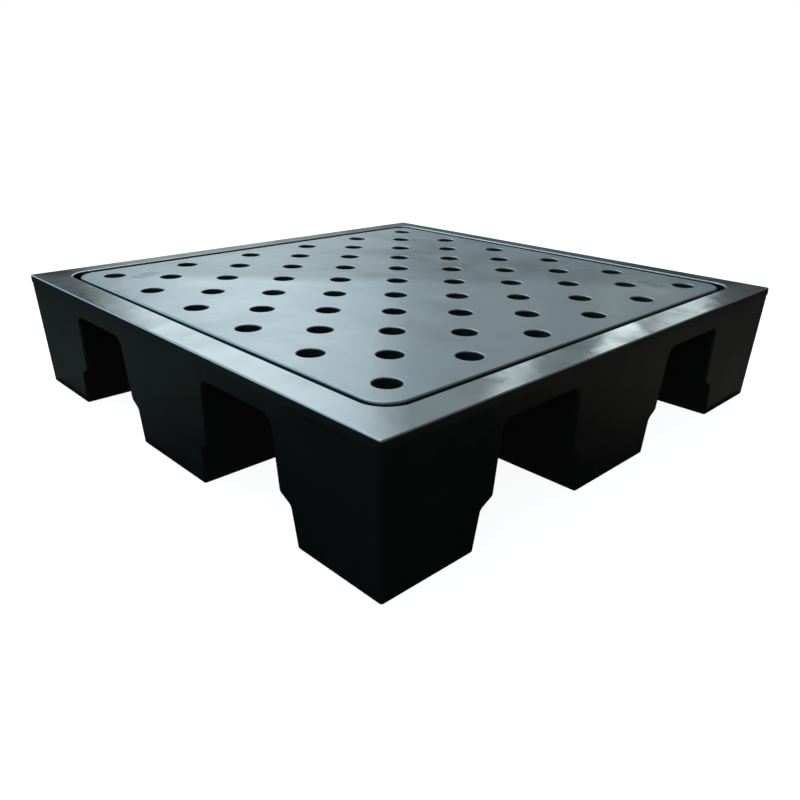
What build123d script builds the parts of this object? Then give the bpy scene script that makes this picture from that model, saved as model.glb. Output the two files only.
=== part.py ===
from build123d import *
import os

os.makedirs("parts", exist_ok=True)

# Square four-way spill containment pallet, in millimetres: a moulded
# polyethylene sump on nine feet, and a loose perforated deck.
# Origin: bottom centre. +Z up. The pallet is the same along X and along Y.

# Sump, outside
HEIGHT = 284          # floor to rim top
RIM_HALF = 645        # half the outer width at the rim
RIM_FALL = 3.5        # the rim top slopes down outwards by this much
FOOT_HALF = 632.5     # half the outer width at the floor
LIP_STEP = 1.5        # the rim band stands this far out of the wall below
LIP_Z = 264           # underside of that band
RIM_EDGE_R = 4        # outer edge of the rim
CORNER_R = 6          # upright corners and edges of the fork mouths
FOOT_R = 5.5          # bottom edges of the feet

# Fork tunnels: the faces of a centre-row foot and of an outer-row foot
ROOF_Z = 228          # tunnel ceiling
ROOF_R = 22           # where the feet meet the ceiling
STEP_Z = (78, 94)     # shoulder of the feet
STEP_R = 9
MID_FACE = (126, 133, 155, 167)    # floor, under and over the step, ceiling
OUT_FACE = (425, 413, 384, 376)

# Sump, inside
WALL = 7
SEAT_Z = 236          # the deck sits on the ledge and the tunnel roofs
RECESS_HALF = 580     # deck opening in the rim
RECESS_R = 52
RECESS_EDGE_R = 4
LEDGE_W = 32
WELL_R = 6            # upright corners of the wells
BAY_HALF = 274        # middle of a tunnel: the sump is drawn in nine bays

# Deck
DECK_HALF = 567.5
DECK_R = 52
DECK_DROP = 2       # deck top below the rim top
DECK_EDGE_R = 5
DECK_SKIN = 6
HOLE_R = 25
HOLE_PITCH = 198      # two square grids of drain holes, half a pitch apart
HOLE_EDGE_R = 3
COLLAR_R = 31         # collar under each drain hole
RIB_T = 5
RIB_LIFT = 6          # ribs stop short of the seat, so liquid can spread


def wall_at(z):
    """Half the width between the sloping outer walls at a height."""
    lean = RIM_HALF - LIP_STEP - FOOT_HALF
    return FOOT_HALF + lean * z / LIP_Z


def face_line(face, shift=0, floor=0, top=ROOF_Z):
    """Side view of a tunnel face, as points from the floor up."""
    heights = (floor, STEP_Z[0], STEP_Z[1], top)
    return [(x + shift, z) for x, z in zip(face, heights)]


def outline(left, right):
    """Side view of a row of feet, with a smooth shoulder."""
    shape = make_face(Polyline(*left, *reversed(right), close=True))
    low, high = STEP_Z[0] - 1, STEP_Z[1] + 1
    bends = [v for v in shape.vertices() if low < v.Y < high]
    return fillet(bends, STEP_R)


def rows(shift=0, floor=0, top=ROOF_Z):
    """Side views of the centre row and of the outer row of feet."""
    mid = face_line(MID_FACE, -shift, floor, top)
    out = face_line(OUT_FACE, shift, floor, top)
    wall = [(wall_at(z) - shift, z) for z in (floor, top)]
    centre = outline([(-x, z) for x, z in mid], mid)
    return centre, outline(out, wall)


def on_wall(edge, shift=0):
    """True for an edge that lies in an outer wall."""
    p = edge @ 0.5
    reach = wall_at(p.Z) - shift
    return min(abs(abs(p.X) - reach), abs(abs(p.Y) - reach)) < 1


def on_corner(edge):
    """True for an edge at an outer corner of the sump."""
    p = edge @ 0.5
    return abs(p.X) > 600 and abs(p.Y) > 600


def rise(edge):
    return edge.bounding_box().size.Z


def block(row_x, row_y, radius, shift=0):
    """One foot or well: two side views crossed, inner uprights rounded."""
    along_y = extrude(Plane.XZ * row_x, 800, both=True)
    along_x = extrude(Plane.YZ * row_y, 800, both=True)
    solid = (along_x & along_y).solids()[0]
    uprights = [e for e in solid.edges() if rise(e) > 2]
    inner = [e for e in uprights if not on_wall(e, shift)]
    return solid.fillet(radius, inner).solids()[0]


def nine(centre, outer, radius, shift=0):
    """The centre, side and corner blocks of a three by three grid."""
    side = block(outer, centre, radius, shift)
    corner = block(outer, outer, radius, shift)
    blocks = [block(centre, centre, radius, shift)]
    for quarter in range(4):
        turn = Rot(0, 0, 90 * quarter)
        blocks += [turn * side, turn * corner]
    return blocks


def square_loft(z0, half0, z1, half1):
    low = Pos(0, 0, z0) * Rectangle(2 * half0, 2 * half0)
    high = Pos(0, 0, z1) * Rectangle(2 * half1, 2 * half1)
    return loft([low, high]).solids()[0]


def slab(half, radius, z0, z1):
    face = RectangleRounded(2 * half, 2 * half, radius)
    return Pos(0, 0, z0) * extrude(face, z1 - z0)


def sump_outside():
    body = square_loft(ROOF_Z, wall_at(ROOF_Z), LIP_Z, wall_at(LIP_Z))
    for foot in nine(*rows(), CORNER_R):
        body = body + foot
    body = body.solids()[0]

    ceiling = []
    for e in body.edges():
        level = rise(e) < 1 and abs((e @ 0.5).Z - ROOF_Z) < 0.5
        if level and not on_wall(e):
            ceiling.append(e)
    body = body.fillet(ROOF_R, ceiling).solids()[0]

    mouths = []
    for e in body.edges():
        below = e.bounding_box().max.Z < ROOF_Z + 1 and (e @ 0.5).Z > 0.5
        if below and on_wall(e) and not on_corner(e):
            mouths.append(e)
    body = body.fillet(CORNER_R, mouths).solids()[0]

    uprights = [e for e in body.edges() if on_corner(e) and rise(e) > 10]
    body = body.fillet(CORNER_R, uprights).solids()[0]
    soles = [e for e in body.edges() if e.bounding_box().max.Z < 0.01]
    body = body.fillet(FOOT_R, soles).solids()[0]

    edge_z = HEIGHT - RIM_FALL
    band = square_loft(LIP_Z, RIM_HALF, edge_z, RIM_HALF)
    band = (band + square_loft(edge_z, RIM_HALF, HEIGHT, RECESS_HALF)).solids()[0]
    uprights = [e for e in band.edges() if rise(e) > 10]
    band = band.fillet(CORNER_R + LIP_STEP, uprights).solids()[0]
    brim = [e for e in band.edges() if abs((e @ 0.5).Z - edge_z) < 0.3]
    band = band.fillet(RIM_EDGE_R, brim).solids()[0]
    return (body + band).solids()[0]


def sump_inside():
    """Wells in the feet, the hollow under the rim and the deck recess."""
    skirt = RECESS_HALF + WALL
    low, high = SEAT_Z, HEIGHT - WALL - RIM_FALL
    under_rim = square_loft(low, wall_at(low) - WALL, high, wall_at(high) - WALL)
    under_rim -= slab(skirt, RECESS_R + WALL, SEAT_Z - 1, HEIGHT)
    ledge = slab(skirt, RECESS_R + WALL, SEAT_Z - WALL, SEAT_Z)
    ledge -= slab(RECESS_HALF - LEDGE_W, RECESS_R - LEDGE_W, 0, HEIGHT)
    space = slab(RECESS_HALF, RECESS_R, SEAT_Z, HEIGHT + 20) + under_rim
    for well in nine(*rows(WALL, WALL, SEAT_Z), WELL_R, WALL):
        space = space + (well - ledge)
    return space


def make_sump():
    sump = (sump_outside() - sump_inside()).solids()[0]
    reach = RECESS_HALF + 1
    edge = []
    for e in sump.edges():
        p = e @ 0.5
        inside = abs(p.X) < reach and abs(p.Y) < reach
        if inside and p.Z > HEIGHT - 0.1:
            edge.append(e)
    return sump.fillet(RECESS_EDGE_R, edge).solids()[0]


def bays(sump):
    """The one-piece sump as nine solids that meet face to face, one to a foot."""
    south_north = {"s": -1, "": 0, "n": 1}
    west_east = {"w": -1, "": 0, "e": 1}
    size = (2 * BAY_HALF, 2 * BAY_HALF, 3 * HEIGHT)
    parts = {}
    for row, j in south_north.items():
        for column, i in west_east.items():
            spot = Pos(i * size[0], j * size[1], 0)
            bay = (sump & spot * Box(*size)).solids()[0]
            parts["sump_" + (row + column or "mid")] = bay
    return parts


def hole_spots():
    square = GridLocations(HOLE_PITCH, HOLE_PITCH, 6, 6)
    between = GridLocations(HOLE_PITCH, HOLE_PITCH, 5, 5)
    return [*square, *between]


def make_deck():
    top_z = HEIGHT - DECK_DROP
    deck = slab(DECK_HALF, DECK_R, SEAT_Z, top_z).solids()[0]
    top = [e for e in deck.edges() if (e @ 0.5).Z > top_z - 0.1]
    deck = deck.fillet(DECK_EDGE_R, top).solids()[0]

    inner = 2 * (DECK_HALF - DECK_SKIN)
    hollow = RectangleRounded(inner, inner, DECK_R - DECK_SKIN)
    hollow -= [spot * Circle(COLLAR_R) for spot in hole_spots()]
    ribs = []
    for step in range(-5, 6):
        shift = step * HOLE_PITCH / 2
        ribs.append(Pos(shift, 0) * Rectangle(RIB_T, inner))
        ribs.append(Pos(0, shift) * Rectangle(inner, RIB_T))
    rib_z = SEAT_Z + RIB_LIFT
    skin_z = top_z - DECK_SKIN
    cells = hollow - ribs
    deck = deck - Pos(0, 0, rib_z) * extrude(cells, skin_z - rib_z)
    deck = deck - Pos(0, 0, SEAT_Z) * extrude(hollow, RIB_LIFT)

    bores = [spot * Circle(HOLE_R) for spot in hole_spots()]
    deck = deck - Pos(0, 0, SEAT_Z) * extrude(Sketch() + bores, HEIGHT - SEAT_Z)
    deck = deck.solids()[0]
    rims = []
    for e in deck.edges():
        ring = e.geom_type == GeomType.CIRCLE and e.is_closed
        if ring and (e @ 0.5).Z > top_z - 0.1:
            rims.append(e)
    return deck.fillet(HOLE_EDGE_R, rims).solids()[0]


NODES = {**bays(make_sump()), "deck": make_deck()}

for name, solid in NODES.items():
    solid.label = name
    export_step(solid, f"parts/{name}.step")
    box = solid.bounding_box()
    print(name, solid.is_valid, round(solid.volume / 1e6, 2), "litres", box.size)
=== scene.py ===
import math

import bpy
from mathutils import Euler, Matrix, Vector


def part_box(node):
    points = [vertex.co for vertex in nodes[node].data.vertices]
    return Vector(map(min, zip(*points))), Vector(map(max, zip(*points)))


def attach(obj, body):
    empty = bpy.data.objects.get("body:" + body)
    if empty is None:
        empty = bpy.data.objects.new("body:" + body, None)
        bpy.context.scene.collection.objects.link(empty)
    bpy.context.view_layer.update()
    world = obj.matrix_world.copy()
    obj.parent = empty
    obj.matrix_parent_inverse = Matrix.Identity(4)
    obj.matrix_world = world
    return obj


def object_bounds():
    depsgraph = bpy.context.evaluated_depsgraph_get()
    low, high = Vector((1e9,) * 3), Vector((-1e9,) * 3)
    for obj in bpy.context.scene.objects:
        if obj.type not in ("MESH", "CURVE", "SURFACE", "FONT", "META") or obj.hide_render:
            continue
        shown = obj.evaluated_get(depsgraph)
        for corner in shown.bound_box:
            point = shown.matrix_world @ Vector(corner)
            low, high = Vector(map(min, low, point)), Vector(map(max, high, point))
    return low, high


# Spill containment pallet: a black polyethylene sump and its loose deck.
# Metres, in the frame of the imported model: origin bottom centre, +Z up.

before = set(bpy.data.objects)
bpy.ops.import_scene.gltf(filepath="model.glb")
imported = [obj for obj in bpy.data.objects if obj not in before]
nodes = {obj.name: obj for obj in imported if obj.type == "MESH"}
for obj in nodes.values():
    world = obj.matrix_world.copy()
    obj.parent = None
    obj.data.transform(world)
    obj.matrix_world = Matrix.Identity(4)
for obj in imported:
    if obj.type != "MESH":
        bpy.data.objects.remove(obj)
cad_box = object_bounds()
scene = bpy.context.scene

# Camera: above and in front of the corner at -X, -Y.
CAMERA_AT = (-1.2383, -1.2894, 0.7031)
CAMERA_HEADING = 45.82      # direction of view, degrees from +X towards +Y
CAMERA_DOWN = 22.48         # degrees below the horizon
CAMERA_ROLL = 0.82
CAMERA_LENS = 33.121

# The rim: its faces lie within RIM_DEPTH of the top and slope outwards.
RIM_DEPTH = 0.009
RIM_SLOPE = 0.054
RIM_LEVEL = cad_box[1][2] - RIM_DEPTH
NEARLY_FLAT = 0.995         # upward part of the normal of the rim's faces
MITRE_BLEND = 0.05          # half the width over which its sides blend


# ---------------------------------------------------------------- node tools
class Nodes:
    """Short calls for building a node tree."""

    def __init__(self, tree):
        self.tree = tree
        tree.nodes.clear()

    def new(self, kind, **settings):
        node = self.tree.nodes.new(kind)
        inputs = settings.pop("inputs", {})
        for key, value in settings.items():
            setattr(node, key, value)
        for key, value in inputs.items():
            self.feed(node.inputs[key], value)
        return node

    def feed(self, socket, value):
        if isinstance(value, bpy.types.NodeSocket):
            self.tree.links.new(value, socket)
        else:
            socket.default_value = value

    def math(self, operation, a, b=0.0, c=0.0, clamp=False):
        node = self.new("ShaderNodeMath", operation=operation, use_clamp=clamp)
        for socket, value in zip(node.inputs, (a, b, c)):
            self.feed(socket, value)
        return node.outputs[0]

    def noise(self, vector, scale, detail=2.0, rough=0.5, warp=0.0):
        node = self.new("ShaderNodeTexNoise")
        self.feed(node.inputs["Vector"], vector)
        node.inputs["Scale"].default_value = scale
        node.inputs["Detail"].default_value = detail
        node.inputs["Roughness"].default_value = rough
        node.inputs["Distortion"].default_value = warp
        return node.outputs["Fac"]

    def span(self, value, low, high, to_low=0.0, to_high=1.0):
        """The value from low..high stretched to to_low..to_high, clamped."""
        node = self.new("ShaderNodeMapRange")
        for socket, item in zip(node.inputs, (value, low, high, to_low, to_high)):
            self.feed(socket, item)
        return node.outputs["Result"]

    def mix(self, factor, a, b):
        node = self.new("ShaderNodeMix", data_type="RGBA")
        self.feed(node.inputs[0], factor)
        self.feed(node.inputs[6], a)
        self.feed(node.inputs[7], b)
        return node.outputs[2]

    def stretch(self, vector, scale, turn=0.0):
        node = self.new("ShaderNodeMapping")
        self.feed(node.inputs["Vector"], vector)
        node.inputs["Rotation"].default_value = (0, 0, turn)
        node.inputs["Scale"].default_value = scale
        return node.outputs["Vector"]


# ----------------------------------------------------------------- materials
def soft_mitre(n, place, normal, fall, blend):
    """The normal of the rim, turning gently where two sides of it meet.

    fall is the slope of each side, blend the half width of the turn.
    """
    at = n.new("ShaderNodeSeparateXYZ", inputs={"Vector": place}).outputs
    far_x = n.math("ABSOLUTE", at["X"])
    far_y = n.math("ABSOLUTE", at["Y"])
    turn = n.span(n.math("SUBTRACT", far_x, far_y), -blend, blend)
    to_x = n.math("MULTIPLY", n.math("SIGN", at["X"]), n.math("MULTIPLY", turn, fall))
    left = n.math("SUBTRACT", 1.0, turn)
    to_y = n.math("MULTIPLY", n.math("SIGN", at["Y"]), n.math("MULTIPLY", left, fall))
    smooth = n.new("ShaderNodeCombineXYZ", inputs={"X": to_x, "Y": to_y, "Z": 1.0})
    smooth = n.new("ShaderNodeVectorMath", operation="NORMALIZE", inputs={0: smooth.outputs[0]})
    flat = n.new("ShaderNodeSeparateXYZ", inputs={"Vector": normal}).outputs["Z"]
    flat = n.math("GREATER_THAN", flat, NEARLY_FLAT)
    rim = n.math("MULTIPLY", flat, n.math("GREATER_THAN", at["Z"], RIM_LEVEL))
    choice = n.new("ShaderNodeMix", data_type="VECTOR")
    n.feed(choice.inputs[0], rim)
    n.feed(choice.inputs[4], normal)
    n.feed(choice.inputs[5], smooth.outputs[0])
    return choice.outputs[1]


def plastic(name, base, dust, rough, gloss, wave, peel):
    """Black moulded polyethylene.

    base and dust are colours, rough the mean roughness of the walls, gloss
    that of the faces turned up, wave the depth in metres of the slow
    unevenness of the skin, peel that of its fine grain.
    """
    material = bpy.data.materials.new(name)
    material.use_nodes = True
    n = Nodes(material.node_tree)
    place = n.new("ShaderNodeTexCoord").outputs["Object"]

    cloud = n.noise(place, 7.0, 4.0, 0.55, 0.4)     # dull patches, about 140 mm
    patch = n.noise(place, 24.0, 3.0, 0.6)          # where scratches gather
    grain = n.noise(place, 420.0, 2.0, 0.6)         # skin of the mould, 2 to 3 mm
    slow = n.noise(place, 5.0, 2.0, 0.45)           # sinks and swells, about 200 mm
    ripple = n.noise(place, 24.0, 1.0, 0.4, 0.3)    # ripples on them, about 40 mm

    normal = n.new("ShaderNodeNewGeometry").outputs["Normal"]
    parts = n.new("ShaderNodeSeparateXYZ", inputs={"Vector": normal})
    upward = n.span(parts.outputs["Z"], 0.75, 0.98)

    scratch_a = n.noise(n.stretch(place, (14, 420, 60), 0.7), 1.0, 2.0, 0.6)
    scratch_b = n.noise(n.stretch(place, (380, 11, 60), 0.35), 1.0, 2.0, 0.6)
    lines = n.math("MAXIMUM", scratch_a, scratch_b)
    lines = n.span(lines, 0.72, 0.80)
    lines = n.math("MULTIPLY", lines, n.span(patch, 0.5, 0.66))
    lines = n.math("MULTIPLY", lines, upward)

    film = n.math("MULTIPLY", upward, n.span(cloud, 0.35, 0.72, 0.1, 0.55))
    film = n.math("MAXIMUM", film, n.math("MULTIPLY", lines, 0.5))

    skin = n.new("ShaderNodeBsdfPrincipled")
    n.feed(skin.inputs["Base Color"], n.mix(film, base, dust))
    mean = n.span(upward, 0.0, 1.0, rough, gloss)
    dull = n.span(cloud, 0.3, 0.7, -0.06, 0.07)
    dull = n.math("ADD", mean, dull)
    dull = n.math("ADD", dull, n.math("MULTIPLY", lines, 0.12))
    n.feed(skin.inputs["Roughness"], dull)
    skin.inputs["IOR"].default_value = 1.5

    swell = n.math("MULTIPLY_ADD", ripple, 0.12, slow)
    broad = n.new("ShaderNodeBump")
    broad.inputs["Distance"].default_value = wave
    n.feed(broad.inputs["Height"], swell)
    n.feed(broad.inputs["Normal"], soft_mitre(n, place, normal, RIM_SLOPE, MITRE_BLEND))
    fine = n.new("ShaderNodeBump")
    fine.inputs["Distance"].default_value = peel
    n.feed(fine.inputs["Height"], grain)
    n.feed(fine.inputs["Normal"], broad.outputs["Normal"])
    n.feed(skin.inputs["Normal"], fine.outputs["Normal"])

    out = n.new("ShaderNodeOutputMaterial")
    n.feed(out.inputs["Surface"], skin.outputs["BSDF"])
    return material


SUMP = plastic(
    "sump_skin", (0.0019, 0.0023, 0.0020, 1), (0.010, 0.011, 0.010, 1),
    0.20, 0.11, 0.004, 1e-5,
)
DECK = plastic(
    "deck_skin", (0.0035, 0.004, 0.004, 1), (0.016, 0.018, 0.018, 1),
    0.34, 0.34, 0.003, 2e-5,
)

for name, node in nodes.items():
    node.data.materials.clear()
    node.data.materials.append(DECK if name == "deck" else SUMP)

# Three short raised bars near two corners of the deck, where it is marked.
BAR_LONG, BAR_WIDE = 0.070, 0.004
BAR_HIGH, BAR_SUNK = 0.0006, 0.0004     # above and below the face of the deck
BAR_STEP = 0.013
BARS_ALONG, BARS_ACROSS = 0.455, 0.435  # from the middle of the deck
DECK_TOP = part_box("deck")[1][2]


def raised_bars(name, x, y, degrees):
    """Three parallel bars on the deck, centred at x, y and turned by degrees."""
    corners, faces = [], []
    for step in (-1, 0, 1):
        first = len(corners)
        for z in (-BAR_SUNK, BAR_HIGH):
            for u, v in ((-1, -1), (1, -1), (1, 1), (-1, 1)):
                corners.append((u * BAR_LONG / 2, v * BAR_WIDE / 2 + step * BAR_STEP, z))
        for face in ((3, 2, 1, 0), (4, 5, 6, 7), (0, 1, 5, 4), (1, 2, 6, 5),
                     (2, 3, 7, 6), (3, 0, 4, 7)):
            faces.append([first + k for k in face])
    mesh = bpy.data.meshes.new(name)
    mesh.from_pydata(corners, [], faces)
    bars = bpy.data.objects.new(name, mesh)
    scene.collection.objects.link(bars)
    bars.location = (x, y, DECK_TOP)
    bars.rotation_euler = (0, 0, math.radians(degrees))
    mesh.materials.append(DECK)
    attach(bars, "deck")


raised_bars("deck_bars_nw", -BARS_ACROSS, BARS_ALONG, 24)
raised_bars("deck_bars_se", BARS_ALONG, -BARS_ACROSS, 66)

# --------------------------------------------------------------------- stage
FLOOR_SIZE, FLOOR_DROP = 40, 0.0005
FLOOR_GREY = (0.10, 0.10, 0.10, 1)
FLOOR_GLOW = 0.93
SHADE_SIZE, SHADE_DROP = 1.3, 0.004
SHADE_GREY = (0.002, 0.002, 0.002, 1)

# A pale floor that glows, so that shadows on it are faint. The glossy plastic
# doesn't see it.
bpy.ops.mesh.primitive_plane_add(size=FLOOR_SIZE, location=(0, 0, -FLOOR_DROP))
floor = bpy.context.object
floor.name = "floor"
paint = bpy.data.materials.new("pale_floor")
paint.use_nodes = True
f = Nodes(paint.node_tree)
matt = f.new("ShaderNodeBsdfDiffuse")
matt.inputs["Color"].default_value = FLOOR_GREY
lit = f.new("ShaderNodeEmission")
lit.inputs["Strength"].default_value = FLOOR_GLOW
total = f.new("ShaderNodeAddShader")
f.feed(total.inputs[0], matt.outputs[0])
f.feed(total.inputs[1], lit.outputs[0])
f.feed(f.new("ShaderNodeOutputMaterial").inputs["Surface"], total.outputs[0])
floor.data.materials.append(paint)
floor.visible_glossy = False

# The shade under the pallet, as the glossy walls see it. Nothing else sees it.
bpy.ops.mesh.primitive_plane_add(size=SHADE_SIZE, location=(0, 0, -SHADE_DROP))
shade = bpy.context.object
shade.name = "shade"
black = bpy.data.materials.new("shade_black")
black.use_nodes = True
b = Nodes(black.node_tree)
b.feed(
    b.new("ShaderNodeOutputMaterial").inputs["Surface"],
    b.new("ShaderNodeBsdfDiffuse", inputs={"Color": SHADE_GREY}).outputs[0],
)
shade.data.materials.append(black)
shade.visible_camera = False
shade.visible_diffuse = False
shade.visible_shadow = False

world = bpy.data.worlds.new("studio")
scene.world = world
world.use_nodes = True
w = Nodes(world.node_tree)
look = w.new("ShaderNodeTexCoord").outputs["Generated"]
axis = w.new("ShaderNodeSeparateXYZ", inputs={"Vector": look})
height = axis.outputs["Z"]
heading = math.radians(CAMERA_HEADING)


def share(x, y):
    """The part of a direction that lies along the level direction x, y."""
    part = w.math("MULTIPLY", axis.outputs["X"], x)
    return w.math("MULTIPLY_ADD", axis.outputs["Y"], y, part)


def band(value, starts, full_from, full_to, ends):
    """1 from full_from to full_to, falling evenly to 0 at starts and ends."""
    grows = w.span(value, starts, full_from)
    return w.math("MULTIPLY", grows, w.span(value, full_to, ends, 1.0, 0.0))


def sine(degrees):
    return math.sin(math.radians(degrees))


# The light above the horizon is SKY, times a dome that brightens with height,
# times upright soft panels round the room. Angles round the room are degrees
# to the left of the camera's heading.
SKY = 8.0
HORIZON = 0.02              # share of the light at the horizon
RISE = 1.7                  # its growth with the square of the height
LOW_TINT = (0.86, 1.0, 0.98, 1)
HIGH_TINT = (0.60, 0.82, 1.0, 1)
FILL_AHEAD, FILL_LEFT = 0.2, 0.5
WIDE_PANEL = (-28, -8, 21, 26)      # starts, full from, full to, ends
KEY_PANEL = (-3, 12, 21, 25)
SIDE_PANEL = (34, 50, 75, 90)
WIDE, KEY, SIDE = 0.42, 1.5, 1.5    # brightness of each
SIDE_TINT = (0.70, 1.0, 1.20, 1)

across = share(-math.sin(heading), math.cos(heading))
ahead = share(math.cos(heading), math.sin(heading))
turned = w.math("ARCTAN2", across, ahead)
turned = w.math("MULTIPLY", turned, 180 / math.pi)

beside = band(turned, *SIDE_PANEL)
around = w.span(turned, 0, 90, FILL_AHEAD, FILL_LEFT)
around = w.math("MULTIPLY_ADD", band(turned, *WIDE_PANEL), WIDE, around)
around = w.math("MULTIPLY_ADD", band(turned, *KEY_PANEL), KEY, around)
around = w.math("MULTIPLY_ADD", beside, SIDE, around)
dome = w.math("MULTIPLY_ADD", w.math("MULTIPLY", height, height), RISE, HORIZON)
dome = w.math("MINIMUM", dome, 1.0)
hue = w.new("ShaderNodeMix", data_type="RGBA", blend_type="MULTIPLY")
w.feed(hue.inputs[0], 1.0)
w.feed(hue.inputs[6], w.mix(height, LOW_TINT, HIGH_TINT))
w.feed(hue.inputs[7], w.mix(beside, (1, 1, 1, 1), SIDE_TINT))
glow = w.math("MULTIPLY", w.math("MULTIPLY", around, dome), SKY)
sky = w.new("ShaderNodeBackground")
w.feed(sky.inputs["Color"], hue.outputs[2])
w.feed(sky.inputs["Strength"], glow)

# Three small soft lamps: degrees to the left, half width, degrees up, half
# height, brightness.
LAMPS = (
    (-19.0, 2.2, 19.5, 5.0, 3.4), (-23.0, 2.6, 16.5, 4.0, 2.2),
    (-11.5, 2.4, 24.0, 4.5, 2.3),
)
LAMP_TINT = (0.85, 1.0, 1.0, 1)
LAMP_CORE = 0.4             # share of its half size at which a lamp is full
lamps = 0.0
for left, half_wide, up, half_high, bright in LAMPS:
    off = w.math("MULTIPLY_ADD", turned, 1 / half_wide, -left / half_wide)
    reach = sine(up + half_high) - sine(up)
    over = w.math("MULTIPLY_ADD", height, 1 / reach, -sine(up) / reach)
    square = w.math("MULTIPLY", off, off)
    away = w.math("SQRT", w.math("MULTIPLY_ADD", over, over, square))
    lamps = w.math("MULTIPLY_ADD", w.span(away, 1.0, LAMP_CORE), bright, lamps)
lamp = w.new("ShaderNodeBackground", inputs={"Color": LAMP_TINT})
w.feed(lamp.inputs["Strength"], lamps)
lights = w.new("ShaderNodeAddShader")
w.feed(lights.inputs[0], sky.outputs[0])
w.feed(lights.inputs[1], lamp.outputs[0])

# The dim ground beyond the stage. It brightens down to GROUND_PEAK degrees
# below the horizon, then darkens towards the pallet, and is greener on the left.
GROUND_FAR, GROUND_PEAK, GROUND_NEAR = 10, 21, 28
GROUND_DIM, GROUND_BRIGHT, GROUND_SHADED = 0.03, 0.07, 0.04
GROUND_LEFT = (0.8, 1.05, 1.0, 1)
GROUND_RIGHT = (1.0, 1.0, 0.84, 1)
down = w.math("MULTIPLY", height, -1.0)
far, peak, near = sine(GROUND_FAR), sine(GROUND_PEAK), sine(GROUND_NEAR)
spread = w.span(down, far, peak, GROUND_DIM, GROUND_BRIGHT)
shaded = w.span(down, peak, near, 1.0, GROUND_SHADED)
ground = w.new("ShaderNodeBackground")
w.feed(
    ground.inputs["Color"],
    w.mix(w.span(across, -0.4, 0.4), GROUND_RIGHT, GROUND_LEFT),
)
w.feed(ground.inputs["Strength"], w.math("MULTIPLY", spread, shaded))
above = w.new("ShaderNodeMixShader")
w.feed(above.inputs[0], w.span(height, -0.01, 0.01))
w.feed(above.inputs[1], ground.outputs[0])
w.feed(above.inputs[2], lights.outputs[0])
backdrop = w.new("ShaderNodeBackground")
backdrop.inputs["Color"].default_value = (1, 1, 1, 1)
backdrop.inputs["Strength"].default_value = 1.0
seen = w.new("ShaderNodeLightPath").outputs["Is Camera Ray"]
both = w.new("ShaderNodeMixShader")
w.feed(both.inputs[0], seen)
w.feed(both.inputs[1], above.outputs[0])
w.feed(both.inputs[2], backdrop.outputs[0])
w.feed(w.new("ShaderNodeOutputWorld").inputs["Surface"], both.outputs[0])

# -------------------------------------------------------------------- camera
lens = bpy.data.cameras.new("camera")
lens.lens = CAMERA_LENS
lens.sensor_width = 36.0
camera = bpy.data.objects.new("camera", lens)
scene.collection.objects.link(camera)
camera.location = CAMERA_AT
turn = Euler(
    (math.radians(90 - CAMERA_DOWN), 0, math.radians(CAMERA_HEADING - 90)), "XYZ"
)
roll = Matrix.Rotation(math.radians(CAMERA_ROLL), 3, "Z")
camera.rotation_euler = (turn.to_matrix() @ roll).to_euler()
scene.camera = camera
scene.view_settings.view_transform = "Standard"
